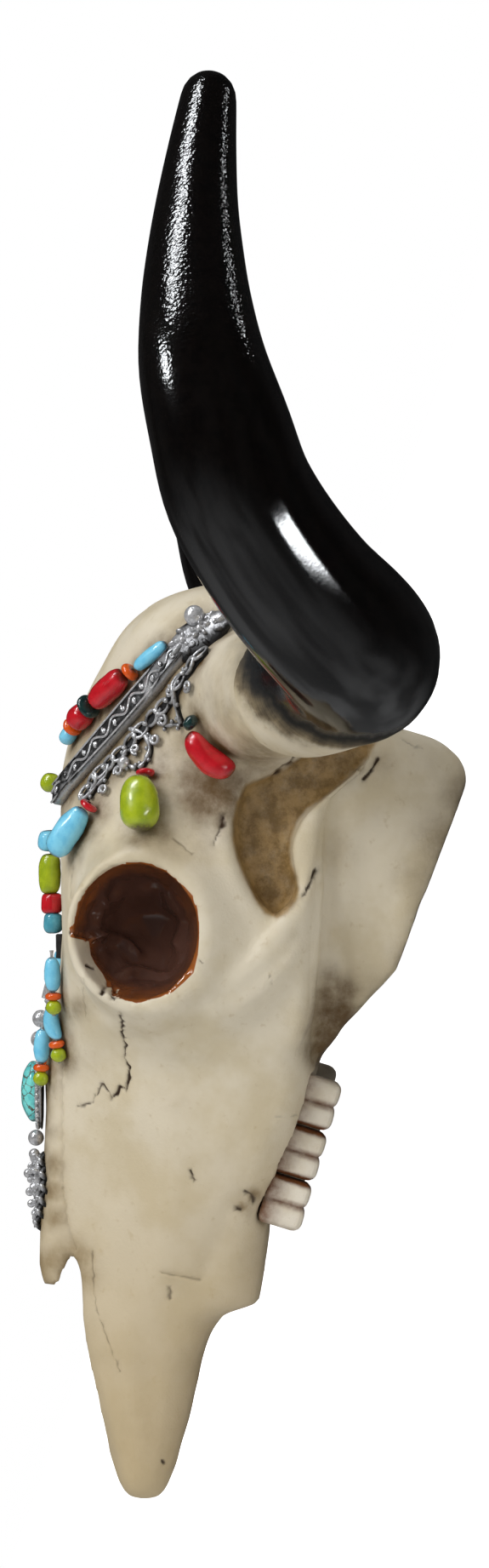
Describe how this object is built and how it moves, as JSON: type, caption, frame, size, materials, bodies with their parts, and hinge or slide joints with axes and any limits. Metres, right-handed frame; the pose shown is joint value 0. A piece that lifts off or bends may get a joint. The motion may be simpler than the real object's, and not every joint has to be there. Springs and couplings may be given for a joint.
{
  "type": "decorated cow skull",
  "caption": "Horned cow skull ornament with a flat back, upper cheek teeth, engraved bars, bead strands, chains with drops, bead column and stone pendant.",
  "frame": {"origin": "centre of the bounding box at ground level, the ground being the plane of the flat back", "axes": "+X towards the skull's own left, -Y from the middle towards the snout, +Z out of the face; the skull lies face up on its flat back"},
  "size_m": [0.3318, 0.3446, 0.1237],
  "materials": {
    "bone": "satin cast bone with brown wash",
    "horn_black": "glossy black, fading to bone at the root",
    "tooth": "satin, brown in the grooves",
    "antique_silver": "antiqued silver, dark in the relief",
    "bead_sky_blue": "gloss",
    "bead_red": "gloss",
    "bead_lime": "gloss",
    "bead_orange": "gloss",
    "bead_dark_green": "gloss",
    "bead_teal": "gloss",
    "turquoise": "polished, brown veins",
    "strap_black": "satin"
  },
  "bodies": {
    "root": {"centre_green": "bead_lime", "chain_left": "antique_silver", "chain_right": "antique_silver", "column_blue": "bead_sky_blue", "column_green": "bead_lime", "column_red": "bead_red", "column_teal": "bead_teal", "dangle_inner_left": "bead_sky_blue", "dangle_inner_right": "bead_sky_blue", "dangle_middle_left": "bead_sky_blue", "dangle_middle_right": "bead_sky_blue", "dangle_outer_left": "bead_sky_blue", "dangle_outer_right": "bead_sky_blue", "drop_blue_left": "bead_sky_blue", "drop_blue_right": "bead_sky_blue", "drop_green_left": "bead_lime", "drop_green_right": "bead_lime", "drop_red_left": "bead_red", "drop_red_right": "bead_red", "horn_left": "horn_black", "horn_right": "horn_black", "ring_dark_green_left": "bead_dark_green", "ring_dark_green_right": "bead_dark_green", "ring_red_blue_left": "bead_red", "ring_red_blue_right": "bead_red", "ring_red_green_left": "bead_red", "ring_red_green_right": "bead_red", "rosette_left": "antique_silver", "rosette_right": "antique_silver", "silver_ball_1": "antique_silver", "silver_ball_2": "antique_silver", "silver_bar_left": "antique_silver", "silver_bar_right": "antique_silver", "silver_blossom": "antique_silver", "silver_knob": "antique_silver", "skull": "bone", "stone_setting": "antique_silver", "strand_blue_long_left": "bead_sky_blue", "strand_blue_long_right": "bead_sky_blue", "strand_blue_short_left": "bead_sky_blue", "strand_blue_short_right": "bead_sky_blue", "strand_dark_green_left": "bead_dark_green", "strand_dark_green_right": "bead_dark_green", "strand_orange_left": "bead_orange", "strand_orange_lower_left": "bead_orange", "strand_orange_lower_right": "bead_orange", "strand_orange_right": "bead_orange", "strand_red_long_left": "bead_red", "strand_red_long_right": "bead_red", "strand_red_short_left": "bead_red", "strand_red_short_right": "bead_red", "strap": "strap_black", "tooth_back_left": "tooth", "tooth_back_right": "tooth", "tooth_front_left": "tooth", "tooth_front_right": "tooth", "tooth_middle_left": "tooth", "tooth_middle_right": "tooth", "turquoise_stone": "turquoise"}
  },
  "joints": []
}
